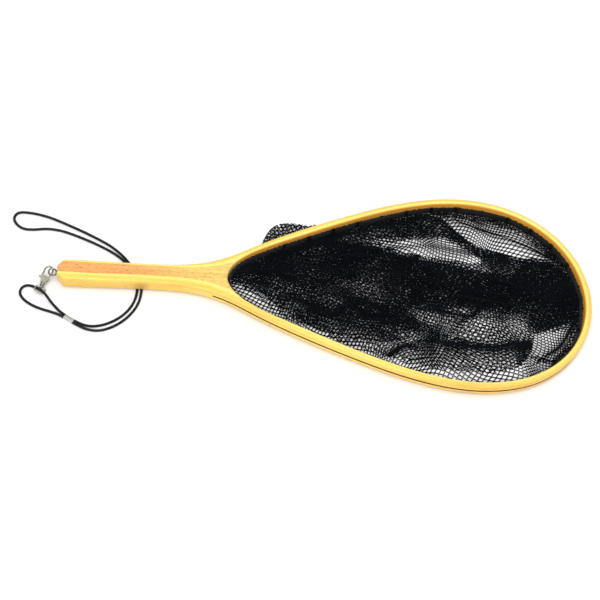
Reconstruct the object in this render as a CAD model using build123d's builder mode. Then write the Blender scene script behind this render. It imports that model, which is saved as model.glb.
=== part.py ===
"""A wooden hand landing net: a laminated teardrop hoop and handle, a laced mesh bag,
a screw eye with a swivel snap clasp, and an elastic lanyard.

Millimetres, +Z up. The long axis is X, with the butt towards -X and the tip towards +X.
Z = 0 is the surface that the net lies on. Plan points of the frame are measured from the
middle of the butt, and y is the half width there.
"""
from build123d import *
import os
from math import cos, pi, radians, sin, tan

os.makedirs("parts", exist_ok=True)

# ---- driving dimensions -------------------------------------------------------------
BUTT_X = -274.0  # where the butt stands, so that the whole object is centred on X = 0
FRAME_Z = 3.0  # underside of the wood: the lanyard and the netting lie beneath it
FRAME_T = 14.5  # thickness of the wood
RAIL_W = 7.1  # width of the bent rail round the hoop
INNER_LAM = 3.0  # the inner of the two laminations in that rail
EDGE_R = 2.4  # rounding of every long edge
TOP_Z = FRAME_Z + FRAME_T
MID_Z = FRAME_Z + FRAME_T / 2

# Half of the opening's plan outline, from the throat to the tip.
OPENING = [
    (176.0, 0.0), (183.5, 17.5), (201.0, 32.2), (239.5, 52.0), (309.0, 83.0),
    (389.0, 109.8), (436.0, 115.2), (499.0, 101.6), (546.0, 59.4), (562.9, 0.0),
]
HOOP_FROM = 3  # the first of those points past the throat, where the rail is of even width

# Plan points of the handle and neck, for each line that runs on into the hoop.
NECK_OUTSIDE = [(6.5, 12.9), (60.0, 12.5), (105.0, 12.4), (148.0, 16.5), (178.0, 27.0), (205.0, 42.0)]
NECK_GLUE_FAR = [(0.0, 9.6), (60.0, 9.4), (115.0, 9.2), (150.0, 10.6), (178.0, 17.6), (204.0, 31.0)]
NECK_GLUE_NEAR = [(0.0, 3.4), (60.0, 3.4), (115.0, 3.6), (150.0, 7.0), (178.0, 16.6), (204.0, 31.0)]
NECK_SEAM_FAR = [(0.0, 11.2), (60.0, 11.0), (115.0, 10.9), (150.0, 13.4), (178.0, 21.4), (204.0, 36.2)]
NECK_SEAM_NEAR = [(0.0, 6.3), (60.0, 6.3), (115.0, 6.7), (150.0, 10.6), (178.0, 20.6), (204.0, 36.2)]
BUTT_HALF = 5.2  # half width of the flat at the butt, between its two cut corners

# Lacing groove round the outside of the hoop, and the holes that run inwards from it.
GROOVE_Z = FRAME_Z + 6.4
GROOVE_H = 1.6
GROOVE_DEPTH = 1.4
GROOVE_FROM = 160.0
LACE_H = 1.1
LACE_W = 0.9
HOLE_R = 0.8
HOLES_PER_SIDE = 14
STITCH_R = 0.65
PAD_T = 0.7

# Binding tape of the net's mouth, and the net as it lies.
TAPE_GAP = 0.15
TAPE_W = 1.1
TAPE_LOW = FRAME_Z + 0.6
TAPE_HIGH = FRAME_Z + 7.6
NET_GAP = 0.3
NET_FLOOR = 4.0  # thickness of the bag as it lies collapsed within the hoop
NET_LOW = 2.6  # height of the netting where it runs out beneath the rail
FOLD_HIGH = 4.0  # the fold that stands out behind the far rail
FOLD = [(207.0, 30.0), (209.0, 52.0), (221.0, 73.5), (240.0, 80.5), (262.0, 79.0), (290.0, 80.0), (318.0, 72.0)]

# Screw eye in the butt.
EYE_X = BUTT_X - 4.9
EYE_R = 3.95  # to the middle of the wire
EYE_WIRE = 0.8
EYE_TILT = 58.0
SHANK_R = 0.95
SHANK_DEPTH = 15.0

# Snap clasp. U runs along it from the hook to the bail, V across it, N out of its flat.
CLASP_TURN = 69.0  # plan angle from straight out of the butt towards -Y
CLASP_DROOP = 16.0
EYE_IN_CLASP = -2.8  # U of the middle of the eye
HOOK_WIRE = 0.9
HOOK_W = 8.6  # between the middles of the hook's two arms
HOOK_BEND_U = -3.0
HOOK_TIP_U = 1.2
BODY_T = 3.4
BODY_V = -4.2  # the middle line of the body and the swivel
SLOT = 1.2  # the gap between the cheeks
GATE_T = 1.0
GATE_W = 1.5
PIVOT_U = 7.8
PIN_R = 0.6
RUN_CLEARANCE = 0.05
POST_R = 1.0
POST_HEAD_R = 1.4
BARREL_R = 2.3
BARREL = (10.8, 15.0)
BAIL_WIRE = 0.85
BAIL_W = 10.8
BAIL_U = (17.0, 22.4)
BAIL_ROLL = 12.0

# Lanyard: elastic cord, and the crimped sleeve that holds its ends.
CORD_R = 1.25
SLEEVE_LEN = 11.0
SLEEVE_WALL = 0.35
SLEEVE_MID = (-258.4, -51.4, 1.65)
SLEEVE_ANGLE = -32.7
STRAND_GAP = 1.28

# Middle line of each cord, as the corners of its runs.
CLIP_LOOP = [
    (-257.71, -50.32, 1.65), (-266.29, -44.81, 1.65), (-273.4, -37.3, 1.3), (-279.2, -30.6, 2.2),
    (-283.5, -26.2, 5.9), (-287.9, -21.5, 6.6), (-292.0, -16.9, 2.6), (-297.8, -12.9, 1.3),
    (-304.8, -11.6, 1.3), (-310.0, -15.8, 1.3), (-310.8, -23.0, 1.3), (-306.1, -30.0, 1.3),
    (-297.4, -36.3, 1.3), (-287.6, -40.4, 1.3), (-277.5, -43.3, 1.3), (-267.67, -46.97, 1.65),
    (-259.09, -52.48, 1.65),
]
WRIST_LOOP = [
    (-257.71, -50.32, 1.65), (-249.13, -55.83, 1.65), (-238.4, -59.2, 1.3), (-226.0, -57.8, 1.3),
    (-212.4, -51.1, 1.3), (-200.7, -40.3, 1.3), (-193.1, -25.9, 1.3), (-190.7, -9.9, 1.3),
    (-194.1, 6.1, 1.3), (-202.4, 20.3, 1.3), (-213.4, 31.1, 1.3), (-228.3, 40.5, 1.3),
    (-244.1, 48.4, 1.3), (-259.3, 55.0, 1.3), (-274.6, 60.6, 1.3), (-290.0, 62.5, 1.3),
    (-304.2, 59.9, 1.3), (-315.4, 60.1, 1.3), (-323.7, 66.8, 1.3), (-326.7, 75.5, 1.3),
    (-322.2, 82.3, 1.3), (-313.2, 82.7, 1.3), (-301.4, 81.1, 1.3), (-287.2, 77.1, 1.3),
    (-272.2, 70.3, 1.3), (-255.6, 62.5, 1.3), (-238.8, 53.7, 1.3), (-222.4, 44.1, 1.3),
    (-207.8, 33.1, 1.3), (-196.8, 19.3, 1.3), (-189.2, 4.1, 1.3), (-186.4, -12.5, 1.3),
    (-189.2, -29.9, 1.3), (-199.0, -46.3, 1.3), (-212.6, -58.1, 1.3), (-226.4, -64.1, 1.3),
    (-239.2, -63.3, 1.3), (-250.51, -57.99, 1.65), (-259.09, -52.48, 1.65),
]


# ---- shared shapes ------------------------------------------------------------------
def frame_plane(z):
    """A level plane whose origin stands over the middle of the butt."""
    return Plane((BUTT_X, 0, z))


# A half outline leaves the throat square to the long axis, or the butt along it, and
# meets the tip square to the axis.
ROUND_ENDS = {"tangents": ((0, 1), (0, -1)), "tangent_scalars": (1, 1)}
ENDS = {"tangents": ((1, 0), (0, -1)), "tangent_scalars": (1, 1)}
opening_line = Spline(*OPENING, **ROUND_ENDS)


def shifted(distance, first=0):
    """The opening's points from one of them on, moved outwards by a distance."""
    points = []
    for x, y in OPENING[first:]:
        along = opening_line.tangent_at(opening_line.param_at_point((x, y)))
        points.append((x - along.Y * distance, y + along.X * distance))
    return points


def opening_face(inset=0.0):
    """The opening's outline as a face, drawn in by the inset."""
    with BuildSketch() as sketch:
        with BuildLine():
            edge = Spline(*shifted(-inset), **ROUND_ENDS)
            mirror(edge, about=Plane.XZ)
        make_face()
    return sketch.sketch


def seam_face():
    """The face inside the seam between the two laminations, from the butt round the hoop."""
    with BuildSketch() as sketch:
        with BuildLine():
            hoop = shifted(INNER_LAM, HOOP_FROM)
            far_edge = Spline(*NECK_SEAM_FAR, *hoop, **ENDS)
            near_half = Spline(*NECK_SEAM_NEAR, *hoop, **ENDS, mode=Mode.PRIVATE)
            mirror(near_half, about=Plane.XZ)
            Line(far_edge @ 0, (0, -NECK_SEAM_NEAR[0][1]))
        make_face()
    return sketch.sketch


def core_face():
    """The face between the two glue lines of the core, which end inside the opening."""
    with BuildSketch() as sketch:
        with BuildLine():
            far_edge = Spline(*NECK_GLUE_FAR)
            near_half = Spline(*NECK_GLUE_NEAR, mode=Mode.PRIVATE)
            near_edge = mirror(near_half, about=Plane.XZ)
            Line(far_edge @ 0, (0, -NECK_GLUE_NEAR[0][1]))
            Line(far_edge @ 1, (NECK_GLUE_NEAR[-1][0], -NECK_GLUE_NEAR[-1][1]))
        make_face()
    return sketch.sketch


def outside_face(shrink=0.0):
    """The face inside the whole net's outside outline, with its butt corners cut."""
    with BuildSketch() as sketch:
        with BuildLine():
            neck = [(x, y - shrink) for x, y in NECK_OUTSIDE]
            hoop = shifted(RAIL_W - shrink, HOOP_FROM)
            edge = Spline(*neck, *hoop, **ENDS)
            corner = Line((0, BUTT_HALF), edge @ 0)
            mirror(edge, about=Plane.XZ)
            mirror(corner, about=Plane.XZ)
            Line((0, BUTT_HALF), (0, -BUTT_HALF))
        make_face()
    return sketch.sketch


def lace_planes(depth):
    """One plane for each lacing hole, facing outwards, at a depth inside the opening's edge."""
    planes = []
    for side in (1, -1):
        for i in range(HOLES_PER_SIDE):
            u = 0.17 + 0.80 * i / (HOLES_PER_SIDE - 1)
            at, along = opening_line.position_at(u), opening_line.tangent_at(u)
            out = Vector(-along.Y, side * along.X, 0)
            place = Vector(BUTT_X + at.X, side * at.Y, GROOVE_Z) - out * depth
            planes.append(Plane(place, x_dir=(0, 0, 1), z_dir=out))
    return planes


# ---- wooden frame -------------------------------------------------------------------
# The glued-up blank is shaped as one, then divided along its glue lines.
with BuildPart() as blank:
    with BuildSketch(frame_plane(FRAME_Z)):
        add(outside_face())
        add(opening_face(), mode=Mode.SUBTRACT)
    extrude(amount=FRAME_T)
    fillet(blank.faces().sort_by(Axis.Z)[0].edges() + blank.faces().sort_by(Axis.Z)[-1].edges(), EDGE_R)

with BuildPart() as handle_core:
    add(blank.part)
    with BuildSketch(frame_plane(FRAME_Z)):
        add(core_face())
    extrude(amount=FRAME_T, mode=Mode.INTERSECT)
    with BuildSketch(Plane((BUTT_X, 0, MID_Z), z_dir=(1, 0, 0))):
        Circle(SHANK_R)
    extrude(amount=SHANK_DEPTH + 1, mode=Mode.SUBTRACT)

with BuildPart() as inner_lamination:
    add(blank.part)
    with BuildSketch(frame_plane(FRAME_Z)):
        add(seam_face())
    extrude(amount=FRAME_T, mode=Mode.INTERSECT)
    with BuildSketch(frame_plane(FRAME_Z)):
        add(core_face())
    extrude(amount=FRAME_T, mode=Mode.SUBTRACT)

with BuildPart() as outer_lamination:
    add(blank.part)
    with BuildSketch(frame_plane(FRAME_Z)):
        add(seam_face())
    extrude(amount=FRAME_T, mode=Mode.SUBTRACT)
    with BuildSketch(frame_plane(GROOVE_Z - GROOVE_H / 2)):
        add(outside_face(-1.0))
        add(outside_face(GROOVE_DEPTH), mode=Mode.SUBTRACT)
        with Locations((GROOVE_FROM + 250, 0)):
            Rectangle(500, 400, mode=Mode.INTERSECT)
    extrude(amount=GROOVE_H, mode=Mode.SUBTRACT)

hole_depth = RAIL_W - GROOVE_DEPTH
for piece in (inner_lamination, outer_lamination):
    with piece:
        with BuildSketch(*lace_planes(1.0)):
            Circle(HOLE_R)
        extrude(amount=hole_depth + 1.5, mode=Mode.SUBTRACT)

# ---- lacing, mouth tape and net -----------------------------------------------------
with BuildPart() as lacing_cord:
    with BuildSketch(frame_plane(GROOVE_Z - LACE_H / 2)):
        add(outside_face(GROOVE_DEPTH - 0.05 - LACE_W))
        add(outside_face(GROOVE_DEPTH - 0.05), mode=Mode.SUBTRACT)
        with Locations((GROOVE_FROM + 252, 0)):
            Rectangle(500, 400, mode=Mode.INTERSECT)
    extrude(amount=LACE_H)

with BuildPart() as lacing_stitches:
    with BuildSketch(*lace_planes(TAPE_GAP + TAPE_W)):
        Circle(STITCH_R)
    extrude(amount=TAPE_GAP + TAPE_W + hole_depth - 0.2)
    with BuildSketch(*lace_planes(TAPE_GAP + TAPE_W)):
        RectangleRounded(5.6, 1.6, 0.7)
    extrude(amount=-PAD_T)

with BuildPart() as mouth_tape:
    with BuildSketch(Plane((BUTT_X, 0, TAPE_LOW))):
        add(opening_face(TAPE_GAP))
        add(opening_face(TAPE_GAP + TAPE_W), mode=Mode.SUBTRACT)
    extrude(amount=TAPE_HIGH - TAPE_LOW)
    with BuildSketch(*lace_planes(TAPE_GAP + TAPE_W + 1)):
        Circle(HOLE_R)
    extrude(amount=3, mode=Mode.SUBTRACT)

with BuildPart() as net_bag:
    with BuildSketch(frame_plane(0)):
        add(opening_face(TAPE_GAP + TAPE_W + PAD_T + NET_GAP))
    extrude(amount=NET_FLOOR)
    with BuildSketch(frame_plane(0)):
        with BuildLine():
            fold_edge = Spline(*FOLD)
            Line(fold_edge @ 0, fold_edge @ 1)
        make_face()
    extrude(amount=NET_LOW)
    with BuildSketch(frame_plane(0)):
        with BuildLine():
            fold_edge = Spline(*FOLD)
            Line(fold_edge @ 0, fold_edge @ 1)
        make_face()
        add(outside_face(-1.0), mode=Mode.SUBTRACT)
    extrude(amount=FOLD_HIGH)

# ---- screw eye ----------------------------------------------------------------------
tilt = radians(EYE_TILT)
eye_plane = Plane((EYE_X, 0, MID_Z), x_dir=(1, 0, 0), z_dir=(0, -sin(tilt), cos(tilt)))
with BuildPart() as screw_eye:
    with BuildSketch(Plane(eye_plane.origin, x_dir=eye_plane.x_dir, z_dir=eye_plane.y_dir)):
        with Locations((EYE_R, 0)):
            Circle(EYE_WIRE)
    revolve(axis=Axis(eye_plane.origin, eye_plane.z_dir))
    with BuildSketch(Plane((EYE_X + EYE_R, 0, MID_Z), z_dir=(1, 0, 0))):
        Circle(SHANK_R)
    extrude(amount=BUTT_X + SHANK_DEPTH - EYE_X - EYE_R)

# ---- snap clasp ---------------------------------------------------------------------
turn, droop = radians(CLASP_TURN), radians(CLASP_DROOP)
along = Vector(-cos(turn) * cos(droop), -sin(turn) * cos(droop), -sin(droop))
upward = Vector(-cos(turn) * sin(droop), -sin(turn) * sin(droop), cos(droop))
clasp_start = Vector(EYE_X, 0, MID_Z) - along * EYE_IN_CLASP
clasp_plane = Plane(clasp_start, x_dir=along, z_dir=upward)
across = clasp_plane.y_dir


def clasp_point(u, v):
    return clasp_start + along * u + across * v


def axle_plane(u):
    """A plane square to the swivel's axis."""
    return Plane(clasp_point(u, BODY_V), x_dir=across, z_dir=along)


with BuildPart() as clasp_hook:
    with BuildLine(clasp_plane):
        tip = Line((HOOK_TIP_U, 0), (HOOK_BEND_U, 0))
        top = (HOOK_BEND_U - HOOK_W / 2, -HOOK_W / 2)
        ThreePointArc((HOOK_BEND_U, 0), top, (HOOK_BEND_U, -HOOK_W))
        Line((HOOK_BEND_U, -HOOK_W), (PIVOT_U - 3.5, -HOOK_W))
    with BuildSketch(Plane(tip @ 0, z_dir=tip % 0)):
        Circle(HOOK_WIRE)
    sweep()
    with BuildSketch(clasp_plane.offset(-BODY_T / 2)):
        with BuildLine():
            Polyline(
                (3.5, -9.4), (4.5, -9.5), (6.9, -8.3), (BARREL[0] + 1, BODY_V - 2.4),
                (BARREL[0] + 1, BODY_V + 2.4), (7.1, -0.3), (5.2, -0.4), (4.0, -2.4), (3.5, -6.5), close=True,
            )
        make_face()
    extrude(amount=BODY_T)
    with BuildSketch(axle_plane(BARREL[0])):
        Circle(BARREL_R)
    extrude(amount=BARREL[1] - BARREL[0])
    with BuildSketch(clasp_plane.offset(-SLOT / 2)):
        with Locations((6.5, BODY_V + 2.6)):
            Rectangle(7.6, 8.4)
        with Locations((7.2, BODY_V - 3.2)):
            Rectangle(5.2, 6.4)
    extrude(amount=SLOT, mode=Mode.SUBTRACT)
    with BuildSketch(clasp_plane.offset(-BODY_T)):
        with Locations((PIVOT_U, BODY_V)):
            Circle(PIN_R)
    extrude(amount=2 * BODY_T, mode=Mode.SUBTRACT)
    with BuildSketch(axle_plane(BARREL[1] - 4.0)):
        Circle(POST_HEAD_R + RUN_CLEARANCE)
    extrude(amount=2.2, mode=Mode.SUBTRACT)
    with BuildSketch(axle_plane(BARREL[1] - 2.0)):
        Circle(POST_R + RUN_CLEARANCE)
    extrude(amount=2.5, mode=Mode.SUBTRACT)

with BuildPart() as gate_lever:
    with BuildSketch(clasp_plane.offset(-GATE_T / 2)):
        with BuildLine():
            Polyline((HOOK_TIP_U + 0.65, -0.3), (5.0, -1.4), (PIVOT_U, BODY_V), (6.0, -10.6))
        trace(line_width=GATE_W)
        with Locations((PIVOT_U, BODY_V)):
            Circle(PIN_R + 0.75)
        with Locations((6.0, -10.6)):
            Circle(GATE_W * 0.65)
    extrude(amount=GATE_T)
    with BuildSketch(clasp_plane.offset(-GATE_T)):
        with Locations((PIVOT_U, BODY_V)):
            Circle(PIN_R + RUN_CLEARANCE)
    extrude(amount=2 * GATE_T, mode=Mode.SUBTRACT)

with BuildPart() as gate_pin:
    with BuildSketch(clasp_plane.offset(-BODY_T / 2 - 0.2)):
        with Locations((PIVOT_U, BODY_V)):
            Circle(PIN_R)
    extrude(amount=BODY_T + 0.4)

with BuildPart() as gate_spring:
    with BuildSketch(Plane(clasp_point(9.85, BODY_V - 1.3), x_dir=along, z_dir=across)):
        Circle(0.35)
    extrude(amount=4.2)

bail_turn = radians(BAIL_ROLL)
bail_up = upward * cos(bail_turn) + across * sin(bail_turn)
bail_plane = Plane(clasp_point(0, BODY_V), x_dir=along, z_dir=bail_up)
with BuildPart() as swivel_bail:
    with BuildLine(bail_plane):
        near_u, far_u = BAIL_U
        corners = [(near_u, BAIL_W / 2), (far_u, BAIL_W / 2 - 0.6)]
        corners += [(u, -v) for u, v in reversed(corners)]
        rim = FilletPolyline(*corners, radius=1.7, close=True)
    with BuildSketch(Plane(rim @ 0, z_dir=rim % 0)):
        Circle(BAIL_WIRE)
    sweep()
    with BuildSketch(axle_plane(BARREL[1] + 0.4)):
        Circle(1.7)
    extrude(amount=near_u - BARREL[1])
    with BuildSketch(axle_plane(BARREL[1])):
        Circle(POST_R)
    extrude(amount=near_u - BARREL[1], mode=Mode.SUBTRACT)

with BuildPart() as swivel_rivet:
    with BuildSketch(axle_plane(BARREL[1] - 3.8)):
        Circle(POST_HEAD_R)
    extrude(amount=1.6)
    with BuildSketch(axle_plane(BARREL[1] - 2.5)):
        Circle(POST_R)
    extrude(amount=2.5 + near_u - BARREL[1])

# ---- lanyard ------------------------------------------------------------------------
def arc_radii(route):
    """The largest arcs that the runs on each side of a corner leave room for."""
    radii = []
    for before, corner, after in zip(route, route[1:], route[2:]):
        first, second = Vector(corner) - Vector(before), Vector(after) - Vector(corner)
        turn_by = radians(first.get_angle(second))
        radii.append(0.45 * min(first.length, second.length) / tan(turn_by / 2))
    return radii


def report_cord(name, piece, route, radii):
    runs = [(Vector(b) - Vector(a)).length for a, b in zip(route, route[1:])]
    share = piece.volume / (pi * CORD_R**2 * piece_length[name])
    print(name, "length", round(piece_length[name], 1), "runs", round(min(runs), 1), "to", round(max(runs), 1))
    print("  radii", [round(r, 1) for r in radii], "volume over section x length", round(share, 4))


piece_length = {}
with BuildPart() as lanyard_clip_loop:
    clip_radii = arc_radii(CLIP_LOOP)
    with BuildLine() as clip_path:
        line = FilletPolyline(*CLIP_LOOP, radius=clip_radii)
    with BuildSketch(Plane(line @ 0, z_dir=line % 0)):
        Circle(CORD_R)
    sweep()

with BuildPart() as lanyard_wrist_loop:
    wrist_radii = arc_radii(WRIST_LOOP)
    with BuildLine() as wrist_path:
        line = FilletPolyline(*WRIST_LOOP, radius=wrist_radii)
    with BuildSketch(Plane(line @ 0, z_dir=line % 0)):
        Circle(CORD_R)
    sweep()

piece_length["lanyard_clip_loop"] = clip_path.wire().length
piece_length["lanyard_wrist_loop"] = wrist_path.wire().length
report_cord("lanyard_clip_loop", lanyard_clip_loop.part, CLIP_LOOP, clip_radii)
report_cord("lanyard_wrist_loop", lanyard_wrist_loop.part, WRIST_LOOP, wrist_radii)

sleeve_dir = Vector(cos(radians(SLEEVE_ANGLE)), sin(radians(SLEEVE_ANGLE)), 0)
sleeve_plane = Plane(Vector(SLEEVE_MID) - sleeve_dir * (SLEEVE_LEN / 2), x_dir=(0, 0, 1), z_dir=sleeve_dir)
with BuildPart() as crimp_sleeve:
    with BuildSketch(sleeve_plane):
        SlotOverall(2 * (STRAND_GAP + CORD_R + SLEEVE_WALL) + 0.1, 2 * (CORD_R + SLEEVE_WALL) + 0.1, rotation=90)
        SlotOverall(2 * (STRAND_GAP + CORD_R) + 0.1, 2 * CORD_R + 0.1, rotation=90, mode=Mode.SUBTRACT)
    extrude(amount=SLEEVE_LEN)

# ---- write every piece --------------------------------------------------------------
pieces = {
    "handle_core": handle_core,
    "inner_lamination": inner_lamination,
    "outer_lamination": outer_lamination,
    "lacing_cord": lacing_cord,
    "lacing_stitches": lacing_stitches,
    "mouth_tape": mouth_tape,
    "net_bag": net_bag,
    "screw_eye": screw_eye,
    "clasp_hook": clasp_hook,
    "gate_lever": gate_lever,
    "gate_pin": gate_pin,
    "gate_spring": gate_spring,
    "swivel_rivet": swivel_rivet,
    "swivel_bail": swivel_bail,
    "lanyard_clip_loop": lanyard_clip_loop,
    "lanyard_wrist_loop": lanyard_wrist_loop,
    "crimp_sleeve": crimp_sleeve,
}
for name, piece in pieces.items():
    piece.part.label = name
    export_step(piece.part, f"parts/{name}.step")
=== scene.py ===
"""The looks of the landing net: wood, netting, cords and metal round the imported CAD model.

Metres, +Z up, in the CAD frame: X runs from the butt to the tip, and the floor is Z = 0.
"""
import math

import bpy
import numpy as np
from mathutils import Matrix, Vector


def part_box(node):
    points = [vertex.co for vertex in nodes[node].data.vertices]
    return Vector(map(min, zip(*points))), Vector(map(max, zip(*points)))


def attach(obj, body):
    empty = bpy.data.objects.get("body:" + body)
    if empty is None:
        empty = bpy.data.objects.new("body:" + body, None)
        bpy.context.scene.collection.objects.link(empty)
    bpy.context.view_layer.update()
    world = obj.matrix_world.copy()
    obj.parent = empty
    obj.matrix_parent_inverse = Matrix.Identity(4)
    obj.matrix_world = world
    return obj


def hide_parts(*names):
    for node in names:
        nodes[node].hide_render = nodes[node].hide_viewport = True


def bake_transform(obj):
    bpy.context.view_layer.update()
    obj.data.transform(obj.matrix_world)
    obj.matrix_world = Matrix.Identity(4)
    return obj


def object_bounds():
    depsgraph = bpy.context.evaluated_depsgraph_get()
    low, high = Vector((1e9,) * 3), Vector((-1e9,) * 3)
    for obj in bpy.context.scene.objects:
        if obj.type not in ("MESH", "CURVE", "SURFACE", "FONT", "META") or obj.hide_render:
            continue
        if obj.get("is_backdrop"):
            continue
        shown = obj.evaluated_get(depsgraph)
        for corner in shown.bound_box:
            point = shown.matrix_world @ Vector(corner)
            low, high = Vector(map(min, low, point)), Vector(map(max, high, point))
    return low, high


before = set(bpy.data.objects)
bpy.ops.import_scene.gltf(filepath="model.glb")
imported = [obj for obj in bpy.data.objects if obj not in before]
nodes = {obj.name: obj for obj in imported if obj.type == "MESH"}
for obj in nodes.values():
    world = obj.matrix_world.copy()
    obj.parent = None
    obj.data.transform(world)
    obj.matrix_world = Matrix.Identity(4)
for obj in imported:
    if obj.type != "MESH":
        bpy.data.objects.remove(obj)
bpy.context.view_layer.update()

MM = 0.001

# ---- sizes, in millimetres ------------------------------------------------------------
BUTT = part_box("handle_core")[0].x / MM  # the butt's X
TAPE_LOW, TAPE_HIGH = (corner.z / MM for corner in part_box("mouth_tape"))
GROOVE_Z = 9.4  # the middle of the lacing groove
GROOVE_START = -113.0
HOOP_START = -110.0  # forward of this the inner strip's upright side is the hoop's inside wall
CORD_D = 2.8  # the cord's cover stands a little proud of the CAD tube
CORD_LIFT = 0.15  # so that the thicker cord still lies on the floor
MESH = 5.0  # the netting's hole pitch, knot to knot
STRAND = 0.68  # from the middle of a strand to its corners
KNOT = 0.6  # half the length over which two strands lie side by side

# Half of the hoop's inside outline, in plan from the butt, as in the CAD.
OPENING = [
    (176.0, 0.0), (183.5, 17.5), (201.0, 32.2), (239.5, 52.0), (309.0, 83.0),
    (389.0, 109.8), (436.0, 115.2), (499.0, 101.6), (546.0, 59.4), (562.9, 0.0),
]
# The line that the grain of the bent strips follows along the handle.
GRAIN_START = [(0.0, 6.0), (60.0, 6.0), (115.0, 6.2), (150.0, 9.0), (178.0, 19.0), (204.0, 34.0)]

# The cords' routes: the CAD's points, with three of the wrist loop's moved 1 or 2 mm.
CLIP_LOOP = [
    (-257.71, -50.32, 1.65), (-266.29, -44.81, 1.65), (-273.4, -37.3, 1.3), (-279.2, -30.6, 2.2),
    (-283.5, -26.2, 5.9), (-287.9, -21.5, 6.6), (-292.0, -16.9, 2.6), (-297.8, -12.9, 1.3),
    (-304.8, -11.6, 1.3), (-310.0, -15.8, 1.3), (-310.8, -23.0, 1.3), (-306.1, -30.0, 1.3),
    (-297.4, -36.3, 1.3), (-287.6, -40.4, 1.3), (-277.5, -43.3, 1.3), (-267.67, -46.97, 1.65),
    (-259.09, -52.48, 1.65),
]
WRIST_LOOP = [
    (-257.71, -50.32, 1.65), (-249.13, -55.83, 1.65), (-238.4, -59.2, 1.3), (-226.0, -57.8, 1.3),
    (-212.4, -51.1, 1.3), (-200.7, -40.3, 1.3), (-193.1, -25.9, 1.3), (-190.7, -9.9, 1.3),
    (-195.0, 6.1, 1.3), (-202.4, 20.3, 1.3), (-213.4, 31.1, 1.3), (-228.3, 40.5, 1.3),
    (-244.1, 48.4, 1.3), (-259.3, 55.0, 1.3), (-274.6, 60.6, 1.3), (-290.0, 62.5, 1.3),
    (-304.2, 59.9, 1.3), (-315.4, 60.1, 1.3), (-323.7, 66.8, 1.3), (-326.7, 75.5, 1.3),
    (-322.2, 82.3, 1.3), (-313.2, 82.7, 1.3), (-301.4, 81.1, 1.3), (-287.2, 77.1, 1.3),
    (-272.2, 70.3, 1.3), (-255.6, 62.5, 1.3), (-238.8, 53.7, 1.3), (-222.4, 44.1, 1.3),
    (-209.3, 32.6, 1.3), (-199.0, 19.3, 1.3), (-189.2, 4.1, 1.3), (-186.4, -12.5, 1.3),
    (-189.2, -29.9, 1.3), (-199.0, -46.3, 1.3), (-212.6, -58.1, 1.3), (-226.4, -64.1, 1.3),
    (-239.2, -63.3, 1.3), (-250.51, -57.99, 1.65), (-259.09, -52.48, 1.65),
]


# ---- camera -----------------------------------------------------------------------------
def make_camera():
    """A long lens, looking down from the near side and turned a little about its own axis."""
    elevation, yaw, roll = (math.radians(a) for a in (55.178, 11.702, -12.312))
    aim, distance, slide, lift = Vector((11, 0, 3)), 1311.55, 30.78, 11.52
    side = Vector((1, 0, 0))
    up = Vector((0, math.sin(elevation), math.cos(elevation)))
    back = side.cross(up)
    rolled_side = side * math.cos(roll) - up * math.sin(roll)
    rolled_up = side * math.sin(roll) + up * math.cos(roll)
    turn = Matrix.Rotation(-yaw, 3, "Z")
    axes = [turn @ v for v in (rolled_side, rolled_up, back)]
    data = bpy.data.cameras.new("camera")
    data.sensor_width, data.lens = 36.0, 73.78
    data.clip_start, data.clip_end = 0.05, 20.0
    camera = bpy.data.objects.new("camera", data)
    bpy.context.collection.objects.link(camera)
    place = aim - axes[0] * slide - axes[1] * lift + axes[2] * distance
    camera.matrix_world = Matrix.Translation(place * MM) @ Matrix(axes).transposed().to_4x4()
    bpy.context.scene.camera = camera


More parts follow.
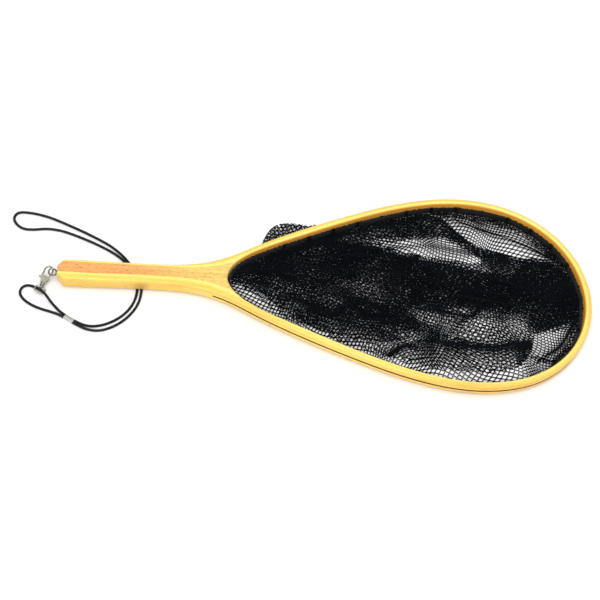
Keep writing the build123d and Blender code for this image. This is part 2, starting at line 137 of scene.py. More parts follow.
# ---- materials --------------------------------------------------------------------------
class Shader:
    """A Principled material, and short ways to make its nodes."""

    def __init__(self, name, color=(0.8, 0.8, 0.8), **inputs):
        self.material = bpy.data.materials.new(name)
        self.material.use_nodes = True
        self.tree = self.material.node_tree
        self.base = self.tree.nodes["Principled BSDF"]
        self.base.inputs["Base Color"].default_value = (*color, 1)
        for key, value in inputs.items():
            self.base.inputs[key.replace("_", " ")].default_value = value

    def node(self, kind, settings=(), **inputs):
        made = self.tree.nodes.new(kind)
        for key, value in dict(settings).items():
            setattr(made, key, value)
        for key, value in inputs.items():
            self.put(value, made.inputs[key.replace("_", " ")])
        return made

    def put(self, value, socket):
        if hasattr(value, "is_output"):
            self.tree.links.new(value, socket)
        else:
            socket.default_value = value

    def where(self, attribute=None):
        """Places on the surface in metres, or a stored attribute's value."""
        if attribute:
            return self.node("ShaderNodeAttribute", {"attribute_name": attribute}).outputs["Vector"]
        return self.node("ShaderNodeTexCoord").outputs["Object"]

    def noise(self, place, stretch=(1, 1, 1), scale=1.0, detail=3.0, rough=0.55):
        moved = self.node("ShaderNodeMapping", Vector=place, Scale=stretch).outputs[0]
        made = self.node("ShaderNodeTexNoise", Vector=moved, Scale=scale, Detail=detail, Roughness=rough)
        return made.outputs[0]

    def ramp(self, factor, *stops):
        made = self.node("ShaderNodeValToRGB", Fac=factor)
        ends = made.color_ramp.elements
        while len(ends) < len(stops):
            ends.new(0.5)
        for end, (at, color) in zip(ends, stops):
            end.position = at
            end.color = (*color, 1) if len(color) == 3 else color
        return made.outputs[0]

    def mix(self, factor, a, b, how="MIX"):
        made = self.node("ShaderNodeMix", {"data_type": "RGBA", "blend_type": how})
        self.put(factor, made.inputs[0])
        self.put(a, made.inputs[6])
        self.put(b, made.inputs[7])
        return made.outputs[2]

    def sums(self, how, a, b, c=0.0):
        made = self.node("ShaderNodeMath", {"operation": how})
        for value, socket in zip((a, b, c), made.inputs):
            self.put(value, socket)
        return made.outputs[0]

    def bump(self, height, distance, strength=1.0):
        made = self.node("ShaderNodeBump", Height=height, Distance=distance, Strength=strength)
        self.put(made.outputs[0], self.base.inputs["Normal"])

    def color(self, value):
        self.put(value, self.base.inputs["Base Color"])

    def roughness(self, factor, low, high):
        made = self.node("ShaderNodeMapRange", Value=factor, To_Min=low, To_Max=high).outputs[0]
        self.put(made, self.base.inputs["Roughness"])


def gray(value):
    return (value, value, value)


def wood(name, light, dark, pore, attribute=None, streak=1.0, paler=None, wall=None, groove=None, mark=None):
    """Varnished wood whose grain runs along X, or along the first part of an attribute.

    paler is the tone that the wood turns to towards the throat, and wall is painted shade: a
    deeper orange on the hoop's inside wall, where the surface is upright, for the shade and warm
    bounce light there. groove is painted shade: a dark band in the lacing groove round the
    outside of the hoop. mark is a place in metres round which the wood is a darker brown.
    """
    m = Shader(name, Coat_Weight=0.25, Coat_Roughness=0.14, Specular_IOR_Level=0.3)
    place = m.where(attribute)
    broad = m.noise(place, (5, 130, 90), 1.0, 2.0)
    fine = m.noise(place, (16, 1000, 460), 1.0, 4.0, 0.65)
    rings = m.noise(place, (2.4, 420, 200), 1.0, 2.0, 0.5)
    grain = m.sums("ADD", m.sums("MULTIPLY", broad, 0.4), m.sums("MULTIPLY", fine, 0.3))
    grain = m.sums("ADD", grain, m.sums("MULTIPLY", rings, 0.3))
    forward = m.node("ShaderNodeSeparateXYZ", Vector=m.where()).outputs[0]
    if paler:
        drift = m.sums("MULTIPLY_ADD", broad, 0.05, forward)
        toward = m.node("ShaderNodeMapRange", {"interpolation_type": "SMOOTHSTEP"}, Value=drift,
                        From_Min=-0.19, From_Max=-0.085).outputs[0]
        light = m.mix(toward, (*light, 1), (*paler, 1))
        dark = m.mix(toward, (*dark, 1), (*(0.8 * c for c in paler), 1))
    else:
        light, dark = (*light, 1), (*dark, 1)
    tone = m.mix(m.ramp(grain, (0.43, gray(0.0)), (0.60, gray(1.0))), light, dark)
    flecks = m.noise(place, (210, 2100, 1500), 1.0, 2.0, 0.6)
    fleck = m.ramp(flecks, (0.57, gray(0.0)), (0.66, gray(1.0)))
    tone = m.mix(m.sums("MULTIPLY", fleck, 0.55 * streak), tone, (*pore, 1))
    # Painted shade: upright faces forward of HOOP_START get a deeper orange for the shade and warm bounce
    # light on the hoop's inside wall.
    if wall:
        facing = m.node("ShaderNodeTexCoord").outputs["Normal"]
        upward = m.node("ShaderNodeSeparateXYZ", Vector=facing).outputs[2]
        wall_shade_mask = m.node("ShaderNodeMapRange", Value=m.sums("ABSOLUTE", upward, 0.0), From_Min=0.45,
                       From_Max=0.85, To_Min=1.0, To_Max=0.0).outputs[0]
        tone = m.mix(m.sums("MULTIPLY", wall_shade_mask, m.sums("GREATER_THAN", forward, HOOP_START * MM)),
                     tone, (*wall, 1))
    # Painted shade: a dark band along the lacing groove's recess, forward of GROOVE_START.
    if groove:
        level = m.node("ShaderNodeSeparateXYZ", Vector=place).outputs[2]
        across = m.sums("ABSOLUTE", m.sums("SUBTRACT", level, GROOVE_Z * MM), 0.0)
        groove_shade_mask = m.node("ShaderNodeMapRange", Value=across, From_Min=0.0008, From_Max=0.0014,
                     To_Min=1.0, To_Max=0.0).outputs[0]
        along = m.sums("GREATER_THAN", forward, GROOVE_START * MM)
        tone = m.mix(m.sums("MULTIPLY", groove_shade_mask, along), tone, (*groove, 1))
    # A darker brown patch round the mark, near where the cords pass the handle.
    if mark:
        away = m.node("ShaderNodeVectorMath", {"operation": "DISTANCE"}, Vector=m.where())
        away.inputs[1].default_value = mark
        ragged = m.sums("MULTIPLY_ADD", broad, 0.006, away.outputs["Value"])
        darker_patch = m.node("ShaderNodeMapRange", Value=ragged, From_Min=0.004, From_Max=0.013,
                        To_Min=0.55, To_Max=0.0).outputs[0]
        tone = m.mix(darker_patch, tone, (0.40, 0.18, 0.04, 1))
    m.color(tone)
    m.roughness(fine, 0.32, 0.5)
    m.bump(m.sums("ADD", fine, m.sums("MULTIPLY", fleck, -0.5)), 0.00008, 0.6)
    return m.material


def net_fiber(name, color):
    """Black knotless nylon: fine twist lines with hardly any shine."""
    m = Shader(name, color, Specular_IOR_Level=0.08)
    place = m.where()
    twist = m.noise(place, (1, 1, 1), 2600, 2.0)
    patches = m.noise(place, (1, 1, 1), 45, 3.0)
    lighter = tuple(2.2 * c + 0.001 for c in color)
    m.color(m.mix(m.sums("MULTIPLY", twist, patches), (*color, 1), (*lighter, 1)))
    m.roughness(twist, 0.42, 0.68)
    m.bump(twist, 0.00012, 0.7)
    return m.material


def band_fiber(name):
    """The bound mouth of the net: thick black yarn wound and gathered."""
    m = Shader(name, (0.006, 0.006, 0.007), Sheen_Weight=0.04, Sheen_Roughness=0.5, Specular_IOR_Level=0.2)
    place = m.where("ribbon")
    wound = m.node("ShaderNodeTexWave", {"bands_direction": "DIAGONAL"}, Vector=place, Scale=520.0,
                   Distortion=3.0, Detail=2.0, Detail_Scale=2.0).outputs["Fac"]
    rough = m.noise(m.where(), (1, 1, 1), 700, 3.0)
    height = m.sums("ADD", wound, m.sums("MULTIPLY", rough, 0.6))
    m.color(m.ramp(height, (0.35, (0.003, 0.003, 0.004)), (1.0, (0.016, 0.016, 0.019))))
    m.roughness(rough, 0.5, 0.8)
    m.bump(height, 0.0004, 0.8)
    return m.material


def elastic(name):
    """Woven cover of the elastic cord: a fine braid that crosses itself."""
    m = Shader(name, (0.006, 0.006, 0.007), Sheen_Weight=0.03, Sheen_Roughness=0.45, Specular_IOR_Level=0.25)
    place = m.where()
    cells = m.node("ShaderNodeTexVoronoi", Vector=place, Scale=1700.0).outputs["Distance"]
    worn = m.noise(place, (1, 1, 1), 120, 3.0)
    m.color(m.mix(m.sums("MULTIPLY", cells, worn), (0.003, 0.003, 0.004, 1), (0.022, 0.022, 0.025, 1)))
    m.roughness(cells, 0.5, 0.72)
    m.bump(cells, 0.0002, 0.8)
    return m.material


def plated(name, color, rough=0.2):
    """Nickel plate over a rough casting, a little dull in its hollows."""
    m = Shader(name, color, Metallic=1.0)
    place = m.where()
    grime = m.noise(place, (1, 1, 1), 300, 4.0, 0.65)
    brushed = m.noise(place, (1, 1, 1), 1600, 2.0)
    darker = tuple(0.55 * c for c in color)
    m.color(m.mix(m.ramp(grime, (0.45, gray(0.0)), (0.75, gray(0.7))), (*color, 1), (*darker, 1)))
    m.roughness(grime, rough, rough + 0.22)
    m.bump(brushed, 0.00004, 0.5)
    return m.material


# ---- shared shapes ------------------------------------------------------------------------
def smooth_line(points, steps=10, closed=False):
    """A Catmull-Rom line through the points."""
    p = np.array(points, float)
    before, after = (p[-1:], p[:2]) if closed else (2 * p[:1] - p[1:2], 2 * p[-1:] - p[-2:-1])
    p = np.vstack([before, p, after])
    t = np.linspace(0, 1, steps, endpoint=False)[:, None]
    made = []
    for a, b, c, d in zip(p, p[1:], p[2:], p[3:]):
        bend, twist = 2 * a - 5 * b + 4 * c - d, 3 * b - a - 3 * c + d
        made.append(0.5 * (2 * b + (c - a) * t + bend * t**2 + twist * t**3))
    if not closed:
        made.append(p[-2:-1])
    return np.vstack(made)


def hoop_line(points, steps=24):
    """A half outline in plan from the butt, mirrored into a whole closed line."""
    half = smooth_line([(points[0][0], -points[0][1] - 8)] + list(points) + [(points[-1][0], -59.4)], steps)
    half = half[steps:-steps]
    half = half + (BUTT, 0)
    other = half[::-1] * (1, -1)
    return np.vstack([half, other[1:-1]])


def signed_distance(places, outlines):
    """How far each place is inside the outlines, by the even-odd rule, and which way is in."""
    best = np.full(len(places), 1e9)
    inward = np.zeros((len(places), 2))
    inside = np.zeros(len(places), bool)
    for line in outlines:
        for a, b in zip(line, np.roll(line, -1, axis=0)):
            ab, ap = b - a, places - a
            t = np.clip(ap @ ab / (ab @ ab), 0, 1)
            away = ap - t[:, None] * ab
            far = np.hypot(away[:, 0], away[:, 1])
            nearer = far < best
            best[nearer], inward[nearer] = far[nearer], away[nearer] / (far[nearer, None] + 1e-9)
            crosses = (a[1] > places[:, 1]) != (b[1] > places[:, 1])
            with np.errstate(divide="ignore", invalid="ignore"):
                at = a[0] + (places[:, 1] - a[1]) * ab[0] / ab[1]
            inside ^= crosses & (places[:, 0] < at)
    sign = np.where(inside, 1.0, -1.0)
    return best * sign, inward * sign[:, None]


def along_line(places, line):
    """For each place: how far along the line its nearest point is, and its signed distance."""
    best = np.full(len(places), 1e9)
    run, side = np.zeros(len(places)), np.zeros(len(places))
    normal = np.zeros((len(places), 2))
    gone = 0.0
    for a, b in zip(line, line[1:]):
        ab, ap = b - a, places - a
        length = np.hypot(*ab)
        t = np.clip(ap @ ab / (length * length), 0, 1)
        away = ap - t[:, None] * ab
        far = np.hypot(away[:, 0], away[:, 1])
        nearer = far < best
        best[nearer] = far[nearer]
        run[nearer] = gone + t[nearer] * length
        side[nearer] = (np.sign(ab[0] * ap[:, 1] - ab[1] * ap[:, 0]) * far)[nearer]
        normal[nearer] = np.array([-ab[1], ab[0]]) / length
        gone += length
    return run, side, normal


def mesh_object(name, points, faces, body, material):
    data = bpy.data.meshes.new(name)
    data.from_pydata((np.asarray(points) * MM).tolist(), [], faces)
    data.validate()
    made = bpy.data.objects.new(name, data)
    bpy.context.collection.objects.link(made)
    data.materials.append(material)
    return made


def store(obj, name, values):
    """Keeps one vector for each of the mesh's points, for a material to read."""
    layer = obj.data.attributes.new(name, "FLOAT_VECTOR", "POINT")
    layer.data.foreach_set("vector", np.asarray(values, np.float32).ravel())


def smooth_shade(obj, angle=None):
    obj.data.polygons.foreach_set("use_smooth", [True] * len(obj.data.polygons))
    if angle:
        obj.data.set_sharp_from_angle(angle=math.radians(angle))


# ---- wood ---------------------------------------------------------------------------------
def bent_strip(node, material):
    """The CAD strip again, with a stored direction so that its grain follows the bend."""
    made = nodes[node].copy()
    made.data = nodes[node].data.copy()
    made.name = node + "_grained"
    bpy.context.collection.objects.link(made)
    count = len(made.data.vertices)
    places = np.zeros(count * 3, np.float32)
    made.data.vertices.foreach_get("co", places)
    places = places.reshape(-1, 3) / MM
    guide = smooth_line(GRAIN_START + OPENING[3:]) + (BUTT, 0)
    mirrored = places[:, :2].copy()
    mirrored[:, 1] = np.abs(mirrored[:, 1])
    run, side, _ = along_line(mirrored, guide)
    shift = np.where(places[:, 1] < 0, 40.0, 0.0)
    store(made, "grain", np.column_stack([run, side + shift, places[:, 2]]) * MM)
    made.data.materials.clear()
    made.data.materials.append(material)
    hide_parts(node)
    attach(made, "net")
    return made


# ---- netting --------------------------------------------------------------------------------
class Waves:
    """A smooth, seeded random field over the plan, from -1 to 1 or so."""

    def __init__(self, seed, wavelength, count=7):
        rng = np.random.default_rng(seed)
        turn = rng.uniform(0, 2 * np.pi, count)
        rate = 2 * np.pi / wavelength * rng.uniform(0.6, 1.5, count)
        self.k = np.column_stack([np.cos(turn), np.sin(turn)]) * rate[:, None]
        self.phase = rng.uniform(0, 2 * np.pi, count)
        self.share = rng.uniform(0.5, 1.0, count)
        self.share /= np.sqrt((self.share**2).sum()) * 0.9

    def __call__(self, places):
        return np.sin(places @ self.k.T + self.phase) @ self.share


def netting(outlines, height, turn, seed, stretch=1.0, folds=(), wander=7.0, opened=None):
    """Knotless netting over a plan outline: strands that zigzag and meet side by side.

    height gives the level from a place and its distance inside the outline. Each fold is
    (line, width, pull, rise): the net is drawn together along the line and stands up there.
    opened is (place, reach, share): the holes stand wider open round that place.
    """
    lines = np.vstack(outlines)
    centre = (lines.min(0) + lines.max(0)) / 2
    reach = np.hypot(*(lines.max(0) - lines.min(0))) / 2 + 25
    pitch, row = MESH * stretch, MESH * stretch / 2
    half_steps = int(reach / pitch * 2) + 2
    ropes = int(reach / row) + 2
    m = np.arange(-half_steps, half_steps + 1)
    j = np.arange(-ropes, ropes + 1)
    step, rope = np.meshgrid(m, j)
    up = (step - rope) % 2 == 0
    v = np.where(up, (rope + 1) * row - 0.8 * STRAND, rope * row + 0.8 * STRAND)
    u = step * pitch / 2
    u = np.stack([u - KNOT, u + KNOT], axis=2).reshape(len(j), -1)
    v = np.repeat(v[:, :, None], 2, axis=2).reshape(len(j), -1)
    c, s = math.cos(math.radians(turn)), math.sin(math.radians(turn))
    places = np.stack([u * c - v * s, u * s + v * c], axis=2).reshape(-1, 2) + centre
    sway_x, sway_y = Waves(seed, 90), Waves(seed + 1, 80)
    places = places + wander * np.column_stack([sway_x(places), sway_y(places)])
    if opened:
        away = places - opened[0]
        far = np.hypot(away[:, 0], away[:, 1])
        places = places + away * (opened[2] * np.exp(-((far / opened[1]) ** 2)))[:, None]
    lift = np.zeros(len(places))
    for line, width, pull, rise in folds:
        _, side, normal = along_line(places, smooth_line(line, 6))
        near = np.exp(-((np.abs(side) / (3.2 * width)) ** 2))
        places = places - normal * (pull * np.tanh(side / width) * near)[:, None]
        lift += rise * np.exp(-((side / (1.3 * width)) ** 2))
    depth, _ = signed_distance(places, outlines)
    level = height(places, depth) + lift
    points = np.column_stack([places, level]).reshape(len(j), -1, 3)
    depth = depth.reshape(len(j), -1)
    return strand_tubes(points, depth)


def strand_tubes(points, depth):
    """Closed three-sided tubes along each rope's stretches inside the outline."""
    verts, faces, total = [], [], 0
    ring = np.radians([90, 210, 330])
    for rope, deep in zip(points, depth):
        inside = deep > 0
        starts = np.flatnonzero(inside & ~np.roll(inside, 1))
        ends = np.flatnonzero(inside & ~np.roll(inside, -1))
        for first, last in zip(starts, ends):
            if first == 0 or last == len(deep) - 1 or last - first < 2:
                continue
            line = rope[first : last + 1]
            before = deep[first] / (deep[first] - deep[first - 1])
            after = deep[last] / (deep[last] - deep[last + 1])
            entry = rope[first] + before * (rope[first - 1] - rope[first])
            leave = rope[last] + after * (rope[last + 1] - rope[last])
            line = np.vstack([entry, line, leave])
            ahead = np.gradient(line, axis=0)
            ahead /= np.linalg.norm(ahead, axis=1)[:, None] + 1e-9
            across = np.cross(ahead, (0, 0, 1.0))
            across /= np.linalg.norm(across, axis=1)[:, None] + 1e-9
            over = np.cross(across, ahead)
            rings = line[:, None] + STRAND * (
                np.cos(ring)[None, :, None] * across[:, None] + np.sin(ring)[None, :, None] * over[:, None]
            )
            n = len(line)
            verts.append(rings.reshape(-1, 3))
            i = np.arange(n - 1)[:, None] * 3 + total
            for k in range(3):
                a, b = i + k, i + (k + 1) % 3
                faces.append(np.hstack([a, b, b + 3, a + 3]))
            caps = [(total, total + 2, total + 1), (total + 3 * n - 3, total + 3 * n - 2, total + 3 * n - 1)]
            faces.append(caps)
            total += 3 * n
    flat = []
    for group in faces:
        flat += group.tolist() if hasattr(group, "tolist") else [list(c) for c in group]
    return np.vstack(verts), flat


def joined(parts):
    """Several point and face lists as one."""
    verts, faces, total = [], [], 0
    for points, some in parts:
        verts.append(points)
        faces += [[k + total for k in face] for face in some]
        total += len(points)
    return np.vstack(verts), faces


# Plan outlines of the bag's folds as it lies, from its lowest layer upwards.
WINDOW = [(73, 64), (102, 71), (136, 76), (161, 68), (184, 48), (161, 46), (131, 50), (100, 56)]
WIDE_FOLD = [
    (-96, 8), (-68, -11), (-36, -37), (2, -56), (43, -73), (85, -84), (112, -91), (145, -96),
    (180, -95), (207, -87), (224, -70), (230, -48), (246, -42), (266, -36), (284, -16), (287, 6),
    (276, 44), (252, 52), (228, 52), (203, 58), (180, 68), (161, 84), (149, 98), (136, 108),
    (90, 100), (50, 87), (5, 69), (-35, 50), (-72, 31), (-90, 17),
]
MIDDLE_FOLD = [
    (-93, 13), (-76, 29), (-40, 47), (5, 62), (39, 62), (72, 58), (105, 48), (144, 42), (185, 34),
    (212, 32), (228, 48), (258, 50), (278, 36), (287, 9), (283, -18), (262, -35), (243, -42),
    (228, -43), (222, -26), (205, -22), (180, -18), (139, -17), (101, -14), (98, -26), (108, -48),
    (80, -62), (39, -62), (-3, -50), (-36, -31), (-64, -6),
]
DARK_FOLD = [
    (-84, 22), (-60, 37), (-30, 50), (6, 62), (40, 60), (72, 54), (105, 45), (144, 38), (185, 30),
    (213, 26), (230, 44), (256, 47), (278, 31), (286, 8), (280, -17), (260, -33), (238, -38),
    (226, -22), (207, -21), (180, -16), (139, -15), (101, -9), (60, 8), (10, 18), (-40, 22),
    (-70, 14),
]
FAR_FOLD = [
    (-40, 53), (-8, 68), (30, 84), (68, 97), (100, 104), (140, 105), (156, 90), (172, 70),
    (147, 78), (113, 77), (76, 70), (34, 63), (0, 55), (-30, 44),
]
RIDGE_FOLD = [
    (135, 108), (149, 98), (162, 84), (178, 70), (202, 60), (228, 55), (258, 54), (268, 46),
    (252, 42), (226, 44), (199, 48), (172, 57), (156, 71), (143, 88), (130, 101),
]
OUTER_FOLD = [
    (-62, 36), (-64, 44), (-61, 55), (-56, 67), (-50, 78), (-41, 85), (-28, 88), (-12, 86), (6, 88),
    (24, 92), (38, 94),
    (46, 88), (20, 68), (-10, 54), (-38, 42),
]


def net_levels():
    """The heights of the bag's layers, in millimetres, from the floor up."""
    slow, quick = Waves(11, 120), Waves(12, 38)

    def layer(base, swell, edge):
        def level(places, depth):
            raised = base + swell * (slow(places) + 0.7 * quick(places))
            eased = 1 - np.exp(-np.clip(depth, 0, 60) / edge)
            return np.maximum(raised * eased, 0) + 0.7 + 0.4 * base * (1 - eased)

        return level

    return layer


def bag(material):
    opening = hoop_line(OPENING)
    layer = net_levels()

    def hung(places, depth):
        """The lowest layer runs up to the bound mouth along the inside of the hoop."""
        wall = (TAPE_LOW + 1.5) * np.exp(-np.clip(depth, 0, 60) / 4.5)
        return 0.8 + wall + 0.5 * np.clip(Waves(21, 60)(places), -1, 1)

    inset = inset_line(opening, 2.2)
    lowest_folds = [
        ([(160, 100), (215, 80), (262, 56)], 4.0, 3.0, 2.0),
        ([(150, 110), (200, 96), (248, 72)], 4.0, 2.0, 1.5),
        ([(240, -72), (258, -58), (274, -34)], 4.0, 3.0, 2.0),
        ([(84, 60), (120, 64), (168, 58)], 5.0, 2.0, 1.6),
    ]
    parts = {"bag_lowest_layer": [netting([inset], hung, 24, 31, 1.0, lowest_folds, 5.0,
                                         ((160, -112), 85, 0.30))]}
    wide_folds = [
        ([(-60, 0), (0, -28), (60, -38), (100, -40)], 6.0, 2.6, 2.5),
        ([(-30, -22), (30, -46), (84, -64)], 6.0, 2.2, 2.0),
        ([(96, -20), (150, -26), (214, -30)], 4.0, 3.0, 2.4),
        ([(120, -62), (170, -66), (222, -58)], 4.5, 2.6, 2.4),
        ([(-20, 54), (50, 78), (120, 100)], 5.0, 3.6, 2.6),
    ]
    parts["bag_wide_fold"] = [
        netting([smooth_line(WIDE_FOLD, 6, True), smooth_line(WINDOW, 6, True)],
                layer(2.2, 0.8, 4.0), -14, 41, 1.0, wide_folds),
    ]
    dark_folds = [
        ([(-40, 30), (20, 40), (90, 44), (160, 30), (214, 14)], 3.5, 3.6, 3.0),
        ([(20, 24), (80, 22), (150, 10), (216, -4)], 3.5, 3.6, 3.0),
        ([(60, 10), (110, 2), (170, -6), (214, -14)], 3.5, 3.6, 2.6),
        ([(226, 36), (236, 10), (240, -26)], 4.5, 2.6, 3.0),
    ]
    parts["bag_upper_folds"] = [
        netting([smooth_line(MIDDLE_FOLD, 6, True)], layer(4.4, 1.0, 4.0), 31, 51, 1.0, wide_folds[:2]),
        netting([smooth_line(DARK_FOLD, 6, True)], layer(6.6, 1.2, 5.0), -4, 61, 0.96, dark_folds),
        netting([smooth_line(FAR_FOLD, 6, True)], layer(4.6, 1.0, 4.0), 17, 71),
        netting([smooth_line(RIDGE_FOLD, 6, True)], layer(4.6, 0.8, 3.0), -35, 81),
        netting([smooth_line(OUTER_FOLD, 6, True)], under_rail(0.8, 2.4), 12, 91, 1.2),
        netting([smooth_line(OUTER_FOLD, 6, True)], under_rail(0.2, 0.9), -27, 95, 1.2),
        netting([rim_band(opening)], layer(3.2, 0.6, 3.0), 48, 99, 1.0, (), 3.0),
    ]
    made = []
    for name, some in parts.items():
        points, faces = joined(some)
        piece = mesh_object(name, points, faces, "net", material)
        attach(piece, "net")
        made.append(piece)
    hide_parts("net_bag")
    return made


def rim_band(opening):
    """Outline of the gathers below the binding, along the far rail and round the tip."""
    outer, inner = inset_line(opening, 2.0), inset_line(opening, 9.0)
    far = (opening[:, 1] > -1) | (opening[:, 0] > 250)
    return np.vstack([outer[far], inner[far][::-1]])


def under_rail(base, swell):
    """Levels of the fold that runs out under the far rail, and swells a little behind it."""
    slow = Waves(15, 40)

    def level(places, depth):
        out = np.clip((places[:, 1] - (places[:, 0] * 0.42 + 68)) / 8, 0, 1)
        rise = np.clip(depth / 6, 0, 1) * out
        return 0.7 + base + swell * rise * (1 + 0.5 * slow(places))

    return level


def inset_line(line, distance):
    """A closed line in plan, drawn in by a distance."""
    ahead = np.roll(line, -1, axis=0) - np.roll(line, 1, axis=0)
    ahead /= np.hypot(ahead[:, 0], ahead[:, 1])[:, None]
    normal = np.column_stack([-ahead[:, 1], ahead[:, 0]])
    middle = line.mean(axis=0)
    facing = np.sign(((middle - line) * normal).sum(axis=1))
    normal *= np.sign(np.median(facing))
    return line + normal * distance


def mouth_band(material):
    """The bound mouth: a thick wound band along the hoop's inside wall, gathered a little."""
    line = inset_line(hoop_line(OPENING, 60), 0.8)
    inward = inset_line(line, 1.0) - line
    seen = np.maximum((line[:, 1] + 60) / 50, (line[:, 0] - 225) / 30)
    fullness = 0.3 + 0.7 * np.clip(seen, 0, 1)
    steps = np.hypot(*(line - np.roll(line, 1, axis=0)).T)
    run = np.cumsum(steps)
    ripple, lumps = Waves(5, 9), Waves(6, 3.2)
    section = [(-0.6, -0.26), (0.9, -0.22), (1.4, 0.06), (1.6, 0.3), (1.4, 0.55), (1.7, 0.8),
               (0.9, 1.0), (-0.6, 1.04)]
    n, k = len(line), len(section)
    points, ribbon = np.zeros((n, k, 3)), np.zeros((n, k, 3))
    for i, (out, up) in enumerate(section):
        along = np.column_stack([run, np.full(n, 40.0 * i)])
        thick = out * (fullness if out > 0 else 1) * (1 + 0.22 * ripple(along) + 0.2 * lumps(along))
        lift = TAPE_LOW + (TAPE_HIGH - TAPE_LOW) * up + (0.5 * ripple(along) if 0 < i < k - 1 else 0)
        if up > 0.9:
            lift = lift - 0.3 + 0.45 * lumps(along)
        points[:, i, :2] = line + inward * thick[:, None]
        points[:, i, 2] = lift
        ribbon[:, i] = np.column_stack([run, np.full(n, up * 7), np.zeros(n)])
    faces = []
    for i in range(n):
        j = (i + 1) % n
        for a in range(k):
            b = (a + 1) % k
            faces.append([i * k + a, j * k + a, j * k + b, i * k + b])
    made = mesh_object("mouth_binding", points.reshape(-1, 3), faces, "net", material)
    store(made, "ribbon", ribbon.reshape(-1, 3) * MM)
    smooth_shade(made)
    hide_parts("mouth_tape")
    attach(made, "net")
    return made


def tube(line, radius, sides=6):
    """Points and faces of a closed tube with flat ends along a line of points."""
    line = np.asarray(line, float)
    ahead = np.gradient(line, axis=0)
    ahead /= np.linalg.norm(ahead, axis=1)[:, None]
    across = np.cross(ahead, (0.13, 0.21, 1.0))
    across /= np.linalg.norm(across, axis=1)[:, None]
    over = np.cross(ahead, across)
    turn = np.arange(sides) * 2 * np.pi / sides
    radius = np.broadcast_to(radius, len(line))
    ring = np.cos(turn)[None, :, None] * across[:, None] + np.sin(turn)[None, :, None] * over[:, None]
    points = (line[:, None] + ring * radius[:, None, None]).reshape(-1, 3)
    faces = []
    for i in range(len(line) - 1):
        for k in range(sides):
            a, b = i * sides + k, i * sides + (k + 1) % sides
            faces.append([a, b, b + sides, a + sides])
    last = (len(line) - 1) * sides
    faces.append(list(range(sides))[::-1])
    faces.append([last + k for k in range(sides)])
    return points, faces


def stitches(material):
    """Whipped stitches over the mouth's binding, one bunch at each lacing hole."""
    low, high = (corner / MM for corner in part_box("lacing_stitches"))
    middle_z = (low.z + high.z) / 2
    data = nodes["lacing_stitches"].data
    places = np.zeros(len(data.vertices) * 3, np.float32)
    data.vertices.foreach_get("co", places)
    places = places.reshape(-1, 3) / MM
    opening = hoop_line(OPENING)
    depth, inward = signed_distance(places[:, :2], [opening])
    pads = places[depth > 1.2]
    way = inward[depth > 1.2]
    centres = []
    for spot in pads[:, :2]:
        if all(np.hypot(*(spot - c[0])) > 9 for c in centres):
            near = np.hypot(*(pads[:, :2] - spot).T) < 7
            centres.append((pads[near, :2].mean(axis=0), way[near].mean(axis=0)))
    rng = np.random.default_rng(8)
    parts = []
    for spot, normal in centres:
        normal = normal / np.hypot(*normal)
        side = np.array([-normal[1], normal[0]])
        for shift in (-1.5, 0.0, 1.4):
            turn = np.linspace(-0.4 * np.pi, 1.4 * np.pi, 9)
            out = 0.5 + 1.1 * np.cos(turn - np.pi / 2)
            lift = middle_z + 3.9 * np.sin(turn - np.pi / 2)
            slide = shift + rng.uniform(-0.3, 0.3) + rng.uniform(-0.5, 0.5) * np.linspace(-1, 1, 9)
            line = np.column_stack([spot + normal * out[:, None] + side * slide[:, None], lift])
            parts.append(tube(line, 0.38))
        for _ in range(3):
            start = spot + normal * 0.4 + side * rng.uniform(-1.4, 1.4)
            tip = start + normal * rng.uniform(0.5, 2.0) + side * rng.uniform(-2.2, 2.2)
            lift = middle_z + rng.uniform(-2.5, 3.0) + np.zeros(5)
            line = np.column_stack([np.linspace(start, tip, 5), lift])
            line[:, 2] += np.linspace(0, rng.uniform(-1.5, 1.5), 5)
            parts.append(tube(line, np.linspace(0.38, 0.12, 5), 5))
    points, faces = joined(parts)
    made = mesh_object("mouth_stitches", points, faces, "net", material)
    smooth_shade(made, 50)
    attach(made, "net")
    return made


# ---- cords ------------------------------------------------------------------------------------
def route_curve(name, route):
    """A smooth curve with the route's points, lifted so that the cord lies on the floor."""
    data = bpy.data.curves.new(name, "CURVE")
    data.dimensions = "3D"
    spline = data.splines.new("NURBS")
    spline.points.add(len(route) - 1)
    for point, (x, y, z) in zip(spline.points, route):
        point.co = (x * MM, y * MM, (z + CORD_LIFT) * MM, 1)
    spline.order_u = 3
    spline.use_endpoint_u = True
    spline.resolution_u = 12
    made = bpy.data.objects.new(name, data)
    bpy.context.collection.objects.link(made)
    return made


def wrist_cord(material):
    made = route_curve("wrist_loop_cord", WRIST_LOOP)
    made.data.bevel_depth = CORD_D / 2 * MM
    made.data.bevel_resolution = 5
    made.data.use_fill_caps = True
    made.data.materials.append(material)
    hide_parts("lanyard_wrist_loop")
    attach(made, "net")
    return made


def clip_cord(material):
    """The loop through the swivel, as a mesh tube along its route."""
    curve = route_curve("clip_route", CLIP_LOOP)
    flat = bpy.data.meshes.new_from_object(curve)
    path = [tuple(v.co) for v in flat.vertices]
    bpy.data.objects.remove(curve)
    points, faces = tube(np.array(path) / MM, CORD_D / 2, 16)
    made = mesh_object("clip_loop_cord", points, faces, "net", material)
    smooth_shade(made, 50)
    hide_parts("lanyard_clip_loop")
    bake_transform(made)
    return made, path


def lanyard(material):
    clip, path = clip_cord(material)
    wrist_cord(material)


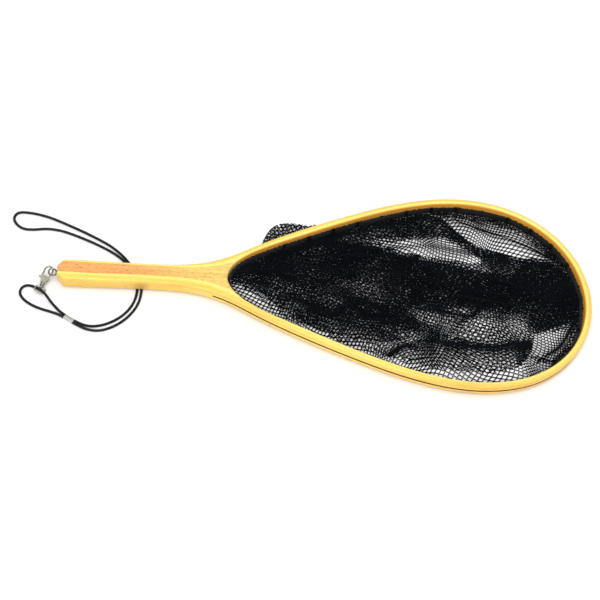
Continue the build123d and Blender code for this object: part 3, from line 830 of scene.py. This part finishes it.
# ---- floor and light ----------------------------------------------------------------------------
def studio():
    low, high = (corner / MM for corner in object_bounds())
    middle = (low + high) / 2
    m = Shader("floor_paper", (0.93, 0.93, 0.925), Roughness=0.9, Specular_IOR_Level=0.1)
    tooth = m.noise(m.where(), (1, 1, 1), 900, 2.0)
    m.bump(tooth, 0.00002, 0.2)
    size = 6000.0
    corners = [(x * size, y * size, 0) for x, y in ((-1, -1), (1, -1), (1, 1), (-1, 1))]
    floor = mesh_object("floor", corners, [[0, 1, 2, 3]], "net", m.material)
    floor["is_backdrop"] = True
    world = bpy.data.worlds.new("studio")
    world.use_nodes = True
    sky = world.node_tree.nodes
    wires = world.node_tree.links
    way = sky.new("ShaderNodeTexCoord")
    height = sky.new("ShaderNodeSeparateXYZ")
    tone = sky.new("ShaderNodeValToRGB")
    wires.new(way.outputs["Generated"], height.inputs[0])
    wires.new(height.outputs[2], tone.inputs[0])
    wires.new(tone.outputs[0], sky["Background"].inputs["Color"])
    for end, at, value in zip(tone.color_ramp.elements, (0.2, 0.65), (0.42, 1.0)):
        end.position = at
        end.color = (*gray(value), 1)
    sky["Background"].inputs["Strength"].default_value = 0.58
    bpy.context.scene.world = world
    lights = [
        ((-500, -1000, 1300), 1100, 15.0),
        ((800, 600, 1700), 1300, 8.0),
        ((100, -200, 2300), 2400, 20.0),
    ]
    for place, width, power in lights:
        data = bpy.data.lights.new("softbox", "AREA")
        data.size, data.energy = width * MM, power
        light = bpy.data.objects.new("softbox", data)
        bpy.context.collection.objects.link(light)
        light.location = Vector(place) * MM
        light.rotation_euler = (middle - Vector(place)).to_track_quat("-Z", "Y").to_euler()
    bpy.context.scene.view_settings.view_transform = "Standard"


def repaint(node, material):
    nodes[node].data.materials.clear()
    nodes[node].data.materials.append(material)


# ---- the whole object -----------------------------------------------------------------------------
make_camera()
studio()
lanyard(elastic("elastic_cover"))

core = wood("core_wood", (0.87, 0.43, 0.14), (0.72, 0.30, 0.08), (0.30, 0.09, 0.03),
            streak=1.5, paler=(0.94, 0.64, 0.17))
# The inner strip's wall tone is painted shade and warm bounce light on the hoop's inside wall.
inner = wood("inner_wood", (0.98, 0.80, 0.21), (0.92, 0.68, 0.15), (0.5, 0.26, 0.05),
             "grain", 0.6, wall=(1.0, 0.46, 0.06))
# Its mark puts a darker brown patch on the outer strip by the cords.
# The outer strip's groove tone is painted shade in the lacing groove.
outer = wood("outer_wood", (1.0, 0.68, 0.14), (0.86, 0.48, 0.07), (0.44, 0.20, 0.03),
             "grain", 0.8, groove=(0.05, 0.018, 0.005), mark=(-0.187, -0.0135, 0.009))
repaint("handle_core", core)
bent_strip("inner_lamination", inner)
bent_strip("outer_lamination", outer)

black = net_fiber("net_nylon", (0.003, 0.004, 0.0055))
netting_pieces = bag(black)
mouth_band(band_fiber("band_yarn"))
lace = net_fiber("lacing_yarn", (0.05, 0.028, 0.012))
repaint("lacing_cord", lace)
repaint("lacing_stitches", black)
stitches(black)

nickel = plated("nickel_plate", (0.31, 0.30, 0.25), 0.09)
for node in ("screw_eye", "clasp_hook", "gate_lever", "gate_pin", "swivel_rivet", "swivel_bail"):
    repaint(node, nickel)
repaint("crimp_sleeve", plated("sleeve_plate", (0.78, 0.79, 0.77), 0.12))
repaint("gate_spring", plated("spring_wire", (0.6, 0.6, 0.6), 0.3))
